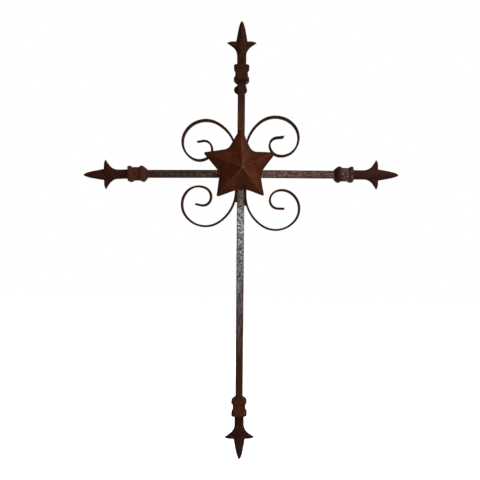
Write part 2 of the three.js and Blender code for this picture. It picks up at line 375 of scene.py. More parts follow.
# %% Fit a finished piece into the frame
def fit(piece, finish, slot, *nodes):
    """Gives a piece its finish and its body, and lets it stand for its nodes. The slot is not
    used.
    """
    mark_edges(piece)
    piece.data.materials.clear()
    piece.data.materials.append(finish)
    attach(piece, "root")
    if nodes:
        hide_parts(*nodes)
    triangles = sum(len(face.vertices) - 2 for face in piece.data.polygons)
    print(f"{piece.name}: {triangles} triangles")


# %% [markdown]
# ## The finishes
#
# All of the cross is iron, at different stages. The scrolls and the castings have an even
# brown rust that has been oiled, the star's thin sheet has rusted orange, and the bars have
# been worn by hands until grey metal shows. Some finishes also carry painted light and shade:
# highlights on the worn bars and on the star's ridges, a lighter right side on the star, and
# shade on the upright under its collar. Photographs of rust could be wrapped round the pieces,
# but a long bar would stretch them. So the finishes are mixed from noise, by a few short
# helpers that hide the wiring of nodes. The noise is read from the surface's own place in
# space, so it stays put from any side, and no two pieces repeat.


# %% Start a finish
rust_gloss = 0.06


def new_finish(name):
    """An empty finish with the faint gloss of oiled rust, its nodes and its shader."""
    material = bpy.data.materials.new(name)
    material.use_nodes = True
    tree = material.node_tree
    shader = tree.nodes["Principled BSDF"]
    shader.inputs["Specular IOR Level"].default_value = rust_gloss
    return material, tree, shader


def colour(red, green, blue):
    """A colour as a picture shows it, 0 to 255, turned to the light that it sends back."""
    return tuple(((c / 255 + 0.055) / 1.055) ** 2.4 if c > 10 else c / 255 / 12.92
                 for c in (red, green, blue))


rust_brown = colour(54, 25, 12)
print("rust brown sends back", [f"{share:.1%}" for share in rust_brown], "of the light")


# %% Read places and measures
def place_in(tree, stretch=(1, 1, 1), shift=(0, 0, 0)):
    """The surface's place in millimetres, squeezed along each axis by stretch."""
    where = tree.nodes.new("ShaderNodeTexCoord")
    scale = tree.nodes.new("ShaderNodeMapping")
    scale.inputs["Scale"].default_value = [1 / mm / s for s in stretch]
    scale.inputs["Location"].default_value = shift
    tree.links.new(where.outputs["Object"], scale.inputs["Vector"])
    return scale.outputs["Vector"]


def along(tree, axis):
    """The surface's place along one axis, in millimetres."""
    split = tree.nodes.new("ShaderNodeSeparateXYZ")
    tree.links.new(place_in(tree), split.inputs["Vector"])
    return split.outputs[axis]


def stored(tree, measure):
    """A measure that was stored on the mesh, or 0 on a piece that has none."""
    value = tree.nodes.new("ShaderNodeAttribute")
    value.attribute_name = measure
    return value.outputs["Fac"]


# %% Make clouds and bend values
def mottle(tree, size, stretch=(1, 1, 1), detail=5.0, roughness=0.55, shift=(0, 0, 0)):
    """Cloudy noise from 0 to 1 whose patches are about size millimetres across."""
    cloud = tree.nodes.new("ShaderNodeTexNoise")
    cloud.inputs["Scale"].default_value = 1 / size
    cloud.inputs["Detail"].default_value = detail
    cloud.inputs["Roughness"].default_value = roughness
    tree.links.new(place_in(tree, stretch, shift), cloud.inputs["Vector"])
    return cloud.outputs["Fac"]


def between(tree, value, low, high, to_low=0.0, to_high=1.0, steady=False):
    """Stretches a value so that low becomes to_low and high becomes to_high, and no further."""
    span = tree.nodes.new("ShaderNodeMapRange")
    span.interpolation_type = "LINEAR" if steady else "SMOOTHSTEP"
    span.inputs["From Min"].default_value = low
    span.inputs["From Max"].default_value = high
    span.inputs["To Min"].default_value = to_low
    span.inputs["To Max"].default_value = to_high
    tree.links.new(value, span.inputs["Value"])
    return span.outputs["Result"]


def maths(tree, operation, first, second):
    """One sum, difference, product or maximum of two values, each a number or a socket."""
    node = tree.nodes.new("ShaderNodeMath")
    node.operation = operation
    for socket, value in zip(node.inputs, (first, second)):
        if isinstance(value, (int, float)):
            socket.default_value = value
        else:
            tree.links.new(value, socket)
    return node.outputs["Value"]


# The band of a cloud's values that, stretched from 0 to 1, gives patches with soft borders
soft = (0.35, 0.65)


# %% Mix colours and raise the surface
def blend(tree, way, below, above, share=None):
    """Two colours in one, each a tuple or a socket, by a share or all the way."""
    mix = tree.nodes.new("ShaderNodeMix")
    mix.data_type = "RGBA"
    mix.blend_type = way
    if share is None:
        mix.inputs["Factor"].default_value = 1
    else:
        tree.links.new(share, mix.inputs["Factor"])
    for socket, value in ((mix.inputs[6], below), (mix.inputs[7], above)):
        if isinstance(value, tuple):
            socket.default_value = (*value, 1)
        else:
            tree.links.new(value, socket)
    return mix.outputs[2]


def tint(tree, share, below, above):
    """A colour that goes from below to above as share goes from 0 to 1."""
    return blend(tree, "MIX", below, above, share)


def raise_surface(tree, shader, height, depth):
    """Bump from a height of 0 to 1 that stands for a depth in millimetres."""
    bump = tree.nodes.new("ShaderNodeBump")
    bump.inputs["Distance"].default_value = depth * mm
    tree.links.new(height, bump.inputs["Height"])
    tree.links.new(bump.outputs["Normal"], shader.inputs["Normal"])


# %% [markdown]
# ### Oiled brown rust
#
# Scrolls, castings and welds share one kind of finish. Rust grows in crusts a few millimetres
# wide with a finer grain inside them. One noise alone looks like a cloud, so two sizes are
# mixed: the large one moves between a dark and a redder brown, and the fine one darkens pits
# and raises the crust a little.
#
# Edges get a colour of their own, in uneven patches. On castings and welds it is lighter than
# the rest, where hands have rubbed. On the scrolls it is as dark as the pits. Some collars are
# rubbed all over, and their meshes say so with a stored measure, which the star's finish reads
# for its painted ridge highlights instead.


# %% Brown rust for scrolls, castings and welds
crust_width = 14
grain_band = (0.42, 0.6)
rub_width = 5
rub_band, rub_least = (0.3, 0.7), 0.35
sharp_band = (0.12, 0.6)
pit_dullness = 0.22


def brown_rust(name, dark, mid, red, rubbed, grain_size, crust, dull=0.62):
    """Two browns with dark pits. The crust's depth is in mm, and dull is how rough it is."""
    finish, tree, shader = new_finish(name)
    ground = tint(tree, between(tree, mottle(tree, crust_width), *soft), mid, red)
    grains = between(tree, mottle(tree, grain_size, roughness=0.7), *grain_band)
    pitted = tint(tree, grains, dark, ground)
    uneven = between(tree, mottle(tree, rub_width, detail=3), *rub_band, rub_least, 1.0)
    edges = maths(tree, "MULTIPLY", between(tree, stored(tree, "edge"), *sharp_band), uneven)
    rub_and_highlight = maths(tree, "MULTIPLY", stored(tree, "rub_and_highlight"), uneven)
    rubbing_and_highlight = maths(tree, "MAXIMUM", edges, rub_and_highlight)
    dullness = between(tree, grains, 0, 1, dull + pit_dullness, dull)
    tree.links.new(tint(tree, rubbing_and_highlight, pitted, rubbed), shader.inputs["Base Color"])
    tree.links.new(dullness, shader.inputs["Roughness"])
    raise_surface(tree, shader, grains, crust)
    print("finish:", name)
    return finish


# The scrolls' edges are coloured as dark as their pits
scroll_rust = brown_rust(
    "oiled brown rust on flat bar", dark=colour(41, 17, 8), mid=rust_brown,
    red=colour(67, 32, 16), rubbed=colour(42, 18, 10), grain_size=3.2, crust=0.04, dull=0.78,
)
casting_rust = brown_rust(
    "oiled brown rust on castings", dark=colour(31, 13, 6), mid=colour(54, 26, 13),
    red=colour(69, 34, 18), rubbed=colour(84, 47, 33), grain_size=2.2, crust=0.2,
)
weld_rust = brown_rust(
    "brown rust on welds", dark=colour(34, 16, 9), mid=colour(56, 28, 16),
    red=colour(74, 37, 21), rubbed=colour(76, 44, 32), grain_size=1.4, crust=0.2,
)

# %% [markdown]
# ### Orange rust on the star
#
# Thin sheet rusts fast and bright. Its colour could be one orange brown, but a real sheet has
# broad soft patches, finer streaks, and dark pits that crowd towards its cut edges. The patches
# are also painted lighter and more orange to the right, and darker to the left, as light falling
# from the right. The mesh of the star stores how near a point lies to the cut edge, under the
# name rim, and in a second measure how strong a painted highlight each ridge gets. The ridges
# below the point of the star get a pale painted highlight, and the ridge above it a more orange
# one.


# %% Orange rust for the pressed star
star_patch, star_streak, star_pit, star_grain = 22, 7, 1.5, 1.1
# Painted light: the patches turn lighter and more orange to the right and darker to the left, as
# light falling from the right
painted_shade_left, painted_light_right = (-60, -0.13), (70, 0.1)
# The painted ridge highlight is pale below the point of the star and more orange above it,
# changing between these two heights
pale_below, warm_above = -146, -132
patch_band, streak_band, pit_band = (0.25, 0.75), (0.4, 0.68), (0.6, 0.72)
streak_tint, pit_tint, pit_crowd = 0.4, 0.85, 0.17
ridge_band, ridge_least = (0.02, 0.12), 0.7
star_dullness = (0.52, 0.75)
star_relief, grain_relief = 0.15, 0.5


def star_ground(tree, streaks):
    """Orange browns in broad patches, painted lighter to the right as light from that side, with
    some of the streaks warmed.
    """
    (left, left_shade), (right, right_light) = painted_shade_left, painted_light_right
    # Painted light and shade across the star, from left to right
    side = between(tree, along(tree, "X"), left, right, left_shade, right_light, steady=True)
    patches = maths(tree, "ADD", mottle(tree, star_patch, detail=3), side)
    patches = between(tree, patches, *patch_band)
    ground = tint(tree, patches, colour(56, 22, 9), colour(73, 32, 12))
    return tint(tree, maths(tree, "MULTIPLY", streaks, streak_tint), ground, colour(92, 43, 18))


def star_pits(tree):
    """Share of dark pits, more of them towards the cut edge."""
    crowd = between(tree, stored(tree, "rim"), 0.0, 1.0, 0.0, pit_crowd)
    grain = mottle(tree, star_pit, detail=2, roughness=0.8, shift=(0, 90, 0))
    return between(tree, maths(tree, "ADD", grain, crowd), *pit_band)


def orange_rust():
    """Patches, streaks, pits and painted ridge highlights in one finish."""
    finish, tree, shader = new_finish("orange rust on sheet with painted light")
    streaks = mottle(tree, star_streak, roughness=0.6, shift=(40, 0, 0))
    streaks = between(tree, streaks, *streak_band)
    pits = star_pits(tree)
    ground = star_ground(tree, streaks)
    pitted = tint(tree, maths(tree, "MULTIPLY", pits, pit_tint), ground, colour(34, 15, 9))

    # Painted highlight: the ridges, and most of all the point, are lightened, pale below the point
    # and orange above it
    ridges = between(tree, stored(tree, "edge"), *ridge_band)
    painted_highlight = maths(tree, "MULTIPLY", ridges, stored(tree, "rub_and_highlight"))
    painted_highlight = maths(tree, "MULTIPLY", painted_highlight, between(tree, streaks, 0, 1, ridge_least, 1))
    upper = between(tree, along(tree, "Z"), pale_below, warm_above)
    rubbed = tint(tree, upper, colour(116, 72, 62), colour(118, 54, 22))
    tree.links.new(tint(tree, painted_highlight, pitted, rubbed), shader.inputs["Base Color"])
    tree.links.new(between(tree, pits, 0, 1, *star_dullness), shader.inputs["Roughness"])
    grain = mottle(tree, star_grain, detail=3, roughness=0.7)
    height = maths(tree, "SUBTRACT", maths(tree, "MULTIPLY", grain, grain_relief), pits)
    raise_surface(tree, shader, height, star_relief)
    print("finish:", finish.name)
    return finish


star_rust = orange_rust()

# %% [markdown]
# ### Worn bar
#
# The square bar was drawn to size, so its rust has long faint streaks. Below the star, and
# along the arms, it is worn through to a grey metal that is still pitted, and still brown
# along its corners and sides. Each stretch of bar could have a finish of its own, but then
# their joints would show. One finish changes along the bar instead. It takes a list of
# points, each with its place in millimetres, the share of bare metal, how polished the metal
# is, which is partly a painted highlight, and a painted shade on the rust, where 0.5 is the
# bar's own brown, less is darker and more is lighter.


# %% Read the wear along a bar
def wear_along(tree, axis, wear):
    """The share bare, how polished it is with its painted highlight, and the painted shade on the
    rust, from the list of points along the bar.
    """
    ramp = tree.nodes.new("ShaderNodeValToRGB")
    low, high = wear[0][0], wear[-1][0]
    tree.links.new(between(tree, along(tree, axis), low, high, steady=True), ramp.inputs["Fac"])
    stops = ramp.color_ramp.elements
    while len(stops) < len(wear):
        stops.new(0.5)
    for stop, (where, bare, polish_and_highlight, painted_shade) in zip(stops, wear):
        stop.position = (where - low) / (high - low)
        stop.color = (bare, polish_and_highlight, painted_shade, 1)
    split = tree.nodes.new("ShaderNodeSeparateColor")
    tree.links.new(ramp.outputs["Color"], split.inputs["Color"])
    return split.outputs["Red"], split.outputs["Green"], split.outputs["Blue"]


# %% Rust a drawn bar
streak_length = 9
drawn_width, bar_grain = 1.7, 1.5
darker, lighter = 0.62, 1.25
pit_shade = 0.8


def streaked(axis):
    """A stretch of the noise into streaks along the bar."""
    return tuple(streak_length if letter == axis else 1 for letter in "XYZ")


def bar_rust(tree, axis, brown, grains, painted_shade):
    """The bar's brown, lighter in its streaks, darker in its pits, and with a painted shade along
    the bar that can darken or lighten it.
    """
    drawn = between(tree, mottle(tree, drawn_width, streaked(axis), roughness=0.5), *soft)
    dark = tuple(c * darker for c in brown)
    light = tuple(min(1.0, c * lighter) for c in brown)
    streaks = tint(tree, drawn, dark, light)
    rusty = tint(tree, maths(tree, "MULTIPLY", grains, pit_shade), dark, streaks)
    # Painted shade: the rust is multiplied darker or lighter along the bar by the list's last
    # column
    return blend(tree, "MULTIPLY", rusty, between(tree, painted_shade, 0, 1, 0, 2, steady=True))


print("rust streaks:", drawn_width, "mm wide,", round(drawn_width * streak_length, 1), "mm long")


# %% Wear a bar down to its metal
wear_width, speck_width = 2.4, 3.0
bar_front = crossing[1] - bar_half
front_fade = (bar_front + 1, bar_front + 5)
bare_on_sides = 0.2
wear_gain, bare_band = (0.6, 1.4), (0.2, 0.8)
speck_band, speck_least = (0.38, 0.5), 0.2
corner_band, corner_kept = (0.03, 0.2), (1.0, 0.7)


def bare_metal(tree, axis, worn, blotches):
    """The share of bare metal: streaked, specked, kept to the front and off the corners."""
    streaks = mottle(tree, wear_width, streaked(axis), shift=(70, 0, 0))
    streaks = between(tree, streaks, *soft, *wear_gain)
    specks = mottle(tree, speck_width, detail=4, shift=(0, 30, 9))
    rusty_corners = between(tree, stored(tree, "edge"), *corner_band)
    kept = maths(tree, "MULTIPLY", rusty_corners, between(tree, blotches, 0, 1, *corner_kept))
    bare = between(tree, maths(tree, "MULTIPLY", worn, streaks), *bare_band)
    for share in (
        between(tree, along(tree, "Y"), *front_fade, 1.0, bare_on_sides),
        between(tree, specks, *speck_band, speck_least, 1.0),
        maths(tree, "SUBTRACT", 1.0, kept),
    ):
        bare = maths(tree, "MULTIPLY", bare, share)
    return bare


print("bare metal thins out from y", round(front_fade[0], 1), "to", round(front_fade[1], 1), "mm")


# %% Finish for the square bars
rust_dullness = 0.75
grey_dullness, bright_dullness = 0.42, 0.26
metal_share = 0.9
bar_pits = 0.06
bar_grain_band, blotch_band = (0.4, 0.62), (0.4, 0.64)


def worn_bar(name, axis, wear, brown, grey, bright):
    """Brown bar, bare in places: wear is points of (mm along, share bare, polished share and
    painted highlight, painted shade).
    """
    finish, tree, shader = new_finish(name)
    worn, polish_and_highlight, painted_shade = wear_along(tree, axis, wear)
    grains = between(tree, mottle(tree, bar_grain, roughness=0.75), *bar_grain_band)
    blotches = mottle(tree, speck_width, detail=4, roughness=0.65, shift=(0, 0, 50))
    blotches = between(tree, blotches, *blotch_band)
    rusty = bar_rust(tree, axis, brown, grains, painted_shade)
    bare = bare_metal(tree, axis, worn, blotches)
    # Painted highlight: on the upright the metal's colour is made bright where the lens lamp's
    # reflection falls, and kept dark next to the star as painted shade, besides the real polishing
    shine_and_highlight = maths(tree, "MULTIPLY", blotches, polish_and_highlight)

    metal = tint(tree, shine_and_highlight, grey, bright)
    tree.links.new(tint(tree, bare, rusty, metal), shader.inputs["Base Color"])
    tree.links.new(maths(tree, "MULTIPLY", bare, metal_share), shader.inputs["Metallic"])
    metal_dullness = between(tree, shine_and_highlight, 0, 1, grey_dullness, bright_dullness)
    smoother = maths(tree, "SUBTRACT", rust_dullness, metal_dullness)
    smoothing = maths(tree, "MULTIPLY", bare, smoother)
    tree.links.new(maths(tree, "SUBTRACT", rust_dullness, smoothing), shader.inputs["Roughness"])
    raise_surface(tree, shader, maths(tree, "ADD", grains, shine_and_highlight), bar_pits)
    print("finish:", name, "from", wear[0][0], "to", wear[-1][0], "mm")
    return finish


# %% [markdown]
# ### The four worn pieces
#
# The upright's rust carries a painted shade, dark under its top collar and ring, and is lighter
# just above the star. Below the star it is bright for a hand's length, partly as a painted
# highlight where the lens lamp's reflection falls, and brown again at its foot. The left arm is
# dulled to a brownish grey, and the right arm is rubbed pinkish, and lighter than the left partly
# as a painted highlight from the light on the right. The collar of the right casting is rubbed
# as the bars are.
# It could get a coat of its own, but the worn bar's finish can do it too, with a list that is
# bare only where the collar is.

# %% Finish the bars
# On the upright the last column is painted shade, dark under the top collar and ring and lighter
# just above the star; the third column peaks where the lens lamp's reflection falls, a painted
# highlight, and is nil next to the star, a painted shade
upright_finish = worn_bar(
    "upright worn below the star", "Z",
    [(-650, 0, 0, 0.5), (-500, 0.1, 0, 0.5), (-440, 0.42, 0.1, 0.5), (-395, 0.54, 0.2, 0.5),
     (-335, 0.76, 0.55, 0.5), (-300, 1, 0.85, 0.5), (-265, 1, 1, 0.5), (-216, 1, 0.95, 0.5),
     (-202, 0.75, 0.1, 0.5), (-175, 0.62, 0, 0.5), (-120, 0, 0, 0.6), (-70, 0, 0, 0.78),
     (-54, 0, 0, 0.68), (-38, 0, 0, 0.5), (-15, 0, 0, 0.33), (60, 0, 0, 0.33)],
    brown=colour(66, 36, 23), grey=colour(90, 84, 80), bright=colour(172, 175, 180),
)
left_arm_finish = worn_bar(
    "left arm dulled", "X",
    [(-200, 0.2, 0.5, 0.5), (-150, 0.5, 0.6, 0.5), (-90, 0.8, 0.5, 0.5), (-60, 0.6, 0.8, 0.5),
     (0, 0.4, 0.8, 0.5)],
    brown=colour(62, 36, 27), grey=colour(48, 43, 38), bright=colour(94, 80, 71),
)
# The right arm's lighter colours are partly a painted highlight, for the light that falls from the
# right
right_arm_finish = worn_bar(
    "right arm rubbed with painted highlight", "X",
    [(0, 0.5, 0.7, 0.5), (60, 0.8, 0.8, 0.5), (130, 0.7, 0.8, 0.5), (190, 0.5, 0.5, 0.5)],
    brown=colour(70, 42, 34), grey=colour(84, 62, 56), bright=colour(126, 103, 96),
)
rubbed_casting = worn_bar(
    "right casting rubbed on its collar", "X",
    [(150, 0, 0, 0.5), (171, 0, 0, 0.5), (177, 0.8, 1, 0.5), (193, 0.8, 1, 0.5),
     (197, 0, 0, 0.5), (280, 0, 0, 0.5)],
    brown=colour(56, 28, 17), grey=colour(64, 38, 33), bright=colour(106, 88, 88),
)

# %% [markdown]
# ## The square bars
#
# Half-inch bar is bought rolled, so its corners are already rounded and its faces nearly flat.
# A stretched cube with a bevel would do for a straight bar, but it has no points along its
# length to hammer. So a section with rounded corners is carried along in short steps, and is
# then hammered very lightly. Modelling the roundness, instead of leaving it to a bump, gives
# the thin light line that runs down every corner of a real bar.
#
# Each limb is built upright, from zero at the crossing, and then turned to its side. That way
# one function serves all four, and the castings later use the same turn.


# %% A rounded section
def rounded_section(width, depth, radius, corner_steps=4, side_steps=4):
    """Points round a rectangle with rounded corners, in millimetres, as columns of x and y."""
    points = []
    half = np.array([width / 2 - radius, depth / 2 - radius])
    quarters = [[1, 1], [-1, 1], [-1, -1], [1, -1]]
    for quarter in range(4):
        middle = half * quarters[quarter]
        for step in range(corner_steps + 1):
            angle = math.radians(90 * (quarter + step / corner_steps))
            points.append(middle + radius * np.array([math.cos(angle), math.sin(angle)]))
        following = half * quarters[(quarter + 1) % 4]
        angle = math.radians(90 * (quarter + 1))
        onward = following + radius * np.array([math.cos(angle), math.sin(angle)])
        for step in range(1, side_steps):
            points.append(points[-1] + (onward - points[-1]) / (side_steps - step + 1))
    return np.array(points)


def at_height(loop, z):
    """A section laid flat at a height, as rows of x, y and z."""
    return np.column_stack([loop, np.full(len(loop), z)])


bar_round = 0.85
bar_section = rounded_section(bar_size, bar_size, bar_round)
print("bar section:", len(bar_section), "points")


# %% Turn a limb to its side
def turn_about_crossing(points, angle):
    """Turns points about the front-to-back axis: upright at 0, to the right at 90 degrees."""
    a = math.radians(angle)
    x, y, z = np.asarray(points).T
    return np.stack([x * math.cos(a) + z * math.sin(a), y, z * math.cos(a) - x * math.sin(a)], 1)


print("turned by 90 degrees, up becomes", turn_about_crossing([[0, 0, 1]], 90)[0].round(3))


# %% Forge the upright and the arms
bar_step = 2.5
left_arm_lean = 0.4
bow = dict(depth=0.12, dent=28)
bar_dents = dict(depth=0.08, dent=4)


def square_bar(name, start, end, angle, seed):
    """A square bar along one limb, from start to end in millimetres from the crossing."""
    stations = np.linspace(start, end, int((end - start) / bar_step) + 1)
    points, faces = skin([at_height(bar_section, z) for z in stations])
    piece = forge(name, turn_about_crossing(points, angle) + crossing, faces)
    hammer(piece, seed=seed, **bow)
    hammer(piece, seed=seed + 1, **bar_dents)
    print(f"{name}: {end - start:.1f} mm long")
    return piece


arm_start = arm_low[0] - crossing[0]
right_end = arm_high[0] - crossing[0]
left_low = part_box("left_arm")[0] / mm
left_end = crossing[0] - left_low.x
foot, top = up_low[2] - crossing[2], up_high[2] - crossing[2]
right_bar = square_bar("right_arm_bar", arm_start, right_end, 90, seed=3)
left_bar = square_bar("left_arm_bar", arm_start, left_end, -90 - left_arm_lean, seed=5)
upright_bar = square_bar("upright_bar", foot, top, 0, seed=1)
fit(upright_bar, upright_finish, "worn_bar", "upright")
fit(left_bar, left_arm_finish, "worn_bar", "left_arm")
fit(right_bar, right_arm_finish, "worn_bar", "right_arm")

# %% [markdown]
# ## The cast spear ends
#
# The four ends are iron castings from one pattern: a leaf-shaped blade with a ridge, a shank
# with two barbs, and a socket collar with a flange at each end. Sculpting one by hand would
# work, but it would be hard to change a size later. A pattern maker glues simple shapes
# together and fills the corners with wax, and the same works here. The spear, the barb plate
# and the collar are three closed skins. A voxel remesh melts them into one, and a little
# smoothing leaves the soft inner corners of a casting.

# %% Sizes of the casting
spear_length = 79
collar_length = 29.5
casting_length = spear_length + collar_length
blade_length = 35.4
blade_width = 19.3
blade_depth = 12
shank_width = 15.6
print("casting:", casting_length, "mm long, its shank", spear_length - blade_length, "mm")


def ease(share):
    """Turns a straight rise from 0 to 1 into one that starts and ends gently."""
    share = np.clip(share, 0, 1)
    return share * share * (3 - 2 * share)


# %% [markdown]
# ### Blade and shank
#
# The blade narrows to its point like a leaf, and its section is a diamond with full sides,
# which gives the ridge. The shank's section is nearly square. A superellipse covers both: one
# number, its squareness, moves it from diamond through ellipse to square. So the shank can
# flow into the blade by easing three numbers, its width, its depth and its squareness.

# %% Skin of the spear's blade and shank
blade_fullness = 0.54
blade_tip = 1.2
blade_squareness, shank_squareness = 1.42, 3.2
shank_blend = 0.6
shank_sink = 0.05
shank_rows, blade_rows = 24, 30
nearest_tip = 0.01


def spear_section(width, depth, squareness, z, sides=48):
    """A superellipse at a height: a diamond at squareness 1, an ellipse at 2, then squarer."""
    turn = np.arange(sides) / sides * 2 * np.pi
    c, s = np.cos(turn), np.sin(turn)
    x = width / 2 * np.sign(c) * np.abs(c) ** (2 / squareness)
    y = depth / 2 * np.sign(s) * np.abs(s) ** (2 / squareness)
    return at_height(np.column_stack([x, y]), z)


def spear_skin():
    """The shank from a little inside the collar, and the blade up to its point."""
    rows = []
    blade = np.array([blade_width, blade_depth, blade_squareness])
    shank = np.array([shank_width, shank_width, shank_squareness])
    for run in np.linspace(-shank_sink, 1, shank_rows):
        shape = blade + (shank - blade) * ease((1 - run) / shank_blend)
        rows.append(spear_section(*shape, collar_length + (spear_length - blade_length) * run))
    for to_tip in np.linspace(1, nearest_tip, blade_rows)[1:]:
        taper = to_tip ** blade_fullness
        width, depth = max(blade_width * taper, blade_tip), max(blade_depth * taper, blade_tip)
        z = casting_length - blade_length * to_tip
        rows.append(spear_section(width, depth, blade_squareness, z))
    return skin(rows)


print("spear:", len(spear_skin()[0]), "points")

# %% [markdown]
# ### Barbs
#
# The two barbs are one flat plate through the shank, a little thicker in its middle. Its front
# edge sweeps back towards the tips. Its back edge leaves the shank in an arc and runs out to
# the tip in a straight slope. A drawn outline would need many points, but an arc and a slope
# need only a radius and an angle, so the plate is cut into thin slices from tip to tip, and
# each slice asks where the front and the back edge are.

# %% Skin of the two barbs
barb_span = 51
barb_sweep, sweep_power = 3.2, 4
barb_slope = 55
barb_flare = 20
barb_root_depth, barb_tip_depth = 8.5, 2.8
barb_least = 1.2
barb_roundness = 1.25
barb_slices, barb_sides = 61, 20


def barb_edges(reach):
    """Heights of the front and the back edge of a barb at a distance from the middle."""
    shank_half, tip, root = shank_width / 2, barb_span / 2, blade_width / 2
    slope = math.radians(barb_slope)
    flare_end = shank_half + barb_flare * (1 - math.cos(slope))
    blade_foot = casting_length - blade_length
    flare_z = blade_foot - barb_sweep - (tip - flare_end) / math.tan(slope)
    out = max(0, (reach - root) / (tip - root))
    front = blade_foot - barb_sweep * out ** sweep_power
    if reach >= flare_end:
        back = flare_z + (reach - flare_end) / math.tan(slope)
    else:
        turn = math.acos(min(1, 1 - max(0, reach - shank_half) / barb_flare))
        back = flare_z - barb_flare * (math.sin(slope) - math.sin(turn))
    return front, min(back, front - barb_least)


def barb_skin():
    """The plate of the two barbs, sliced from tip to tip."""
    rows = []
    loop = np.arange(barb_sides) / barb_sides * 2 * np.pi
    lens = np.sign(np.sin(loop)) * np.abs(np.sin(loop)) ** barb_roundness
    tip = barb_span / 2
    for x in np.linspace(-tip, tip, barb_slices):
        front, back = barb_edges(abs(x))
        thick = (barb_root_depth + (barb_tip_depth - barb_root_depth) * abs(x) / tip) / 2
        z = (front + back) / 2 + (front - back) / 2 * np.cos(loop)
        rows.append(np.column_stack([np.full(barb_sides, x), thick * lens, z]))
    return skin(rows)


print("barb edges at the tip:", np.round(barb_edges(barb_span / 2), 1))

# %% [markdown]
# ### Collar
#
# The collar is a square sleeve round the bar. From its mouth up it swells from a thin neck to
# a flange, sinks to a waist, rises to a second flange and closes with a small lip. A lathe
# makes such a profile round, but this one is square. So the profile is written as the
# thickness of the wall at a few heights, eased between them, and each height gives one
# rounded square.

# %% Skin of the collar
neck_wall, neck_taper = 1.7, 4.4
flange_wall, flange_land = 6.8, 2.4
waist_wall, shoulder = 4.4, 4.2
lip_wall, lip = 6.4, 1.6
collar_corner = 0.8
collar_rows = 48


def collar_wall(z):
    """Thickness of the collar's wall round the bar at a height above its mouth."""
    top = collar_length - lip
    low_waist = neck_taper + flange_land + shoulder
    high_waist = top - flange_land - shoulder
    heights = [0, neck_taper, neck_taper + flange_land, low_waist,
               high_waist, top - flange_land, top, collar_length]
    walls = [neck_wall, flange_wall, flange_wall, waist_wall,
             waist_wall, flange_wall, flange_wall, lip_wall]
    k = min(np.searchsorted(heights, z, "right") - 1, len(heights) - 2)
    share = (z - heights[k]) / (heights[k + 1] - heights[k])
    straight = k in (0, len(heights) - 2)
    return walls[k] + (walls[k + 1] - walls[k]) * (share if straight else ease(share))


def collar_skin():
    """The sleeve as a solid, because the socket is cut later."""
    rows = []
    for z in np.linspace(0, collar_length, collar_rows):
        wall = collar_wall(z)
        side = bar_size + 2 * wall
        rows.append(at_height(rounded_section(side, side, wall * collar_corner), z))
    return skin(rows)


print("collar:", round(bar_size + 2 * flange_wall, 1), "mm over its flanges")

# %% [markdown]
# ### Melting the pattern and cutting the socket
#
# A union of the three skins would leave knife-sharp corners where they meet. The voxel remesh
# has no such corners: it rebuilds the whole surface from small cubes, and smoothing it takes
# off a hair, which is given back along the normals. The socket for the bar has to stay crisp,
# so it is cut last, by a square block in the place of a foundry's sand core.


# %% Apply what modifiers do to a piece
def settle(piece):
    """Turns the result of a piece's modifiers into its own mesh."""
    bpy.context.view_layer.update()
    shaped = piece.evaluated_get(bpy.context.evaluated_depsgraph_get())
    mesh = bpy.data.meshes.new_from_object(shaped)
    piece.modifiers.clear()
    piece.data = mesh
    mesh.shade_smooth()


# %% Melt the three skins into one
casting_grain = 0.55
soften_share, soften_rounds = 0.5, 2
soften_loss = 0.2


def melted_pattern():
    """Spear, barbs and collar as one closed surface."""
    points, faces = [], []
    for part_points, part_faces in (spear_skin(), barb_skin(), collar_skin()):
        faces += [tuple(i + sum(map(len, points)) for i in face) for face in part_faces]
        points.append(part_points)
    piece = forge("casting_pattern", np.concatenate(points), faces)
    melt = piece.modifiers.new("melt", "REMESH")
    melt.mode = "VOXEL"
    melt.voxel_size = casting_grain * mm
    soften = piece.modifiers.new("soften", "SMOOTH")
    soften.factor = soften_share
    soften.iterations = soften_rounds
    settle(piece)
    move_points(piece, points_of(piece) + normals_of(piece) * soften_loss)
    return piece


casting = melted_pattern()
print("melted pattern:", len(casting.data.polygons), "faces")

# %% Cut the socket with a square core
socket_depth = 24
socket_play = 0.6


def cut_socket(piece):
    """Takes the bar's square hole out of the collar."""
    half = (bar_size + socket_play) / 2
    corners = [[-half, -half], [half, -half], [half, half], [-half, half]]
    points, faces = skin([at_height(corners, z) for z in (-socket_depth, socket_depth)])
    core = forge("socket_core", points, faces)
    core.data.shade_flat()
    cut = piece.modifiers.new("socket", "BOOLEAN")
    cut.operation = "DIFFERENCE"
    cut.solver = "EXACT"
    cut.object = core
    settle(piece)
    bpy.data.objects.remove(core)


cut_socket(casting)
print("pattern:", len(casting.data.polygons), "faces")

# %% [markdown]
# ### Casting the four ends
#
# Four linked copies would be quick, but real castings from one pattern still differ. Each one
# is a copy with a rough sand surface of its own, and two of them stand a little askew. Two
# collars have slipped along their limb, and two necks are drawn out, so the points near the
# collar and at the neck move by amounts of their own. All four backs are held to the plane of
# the wall.

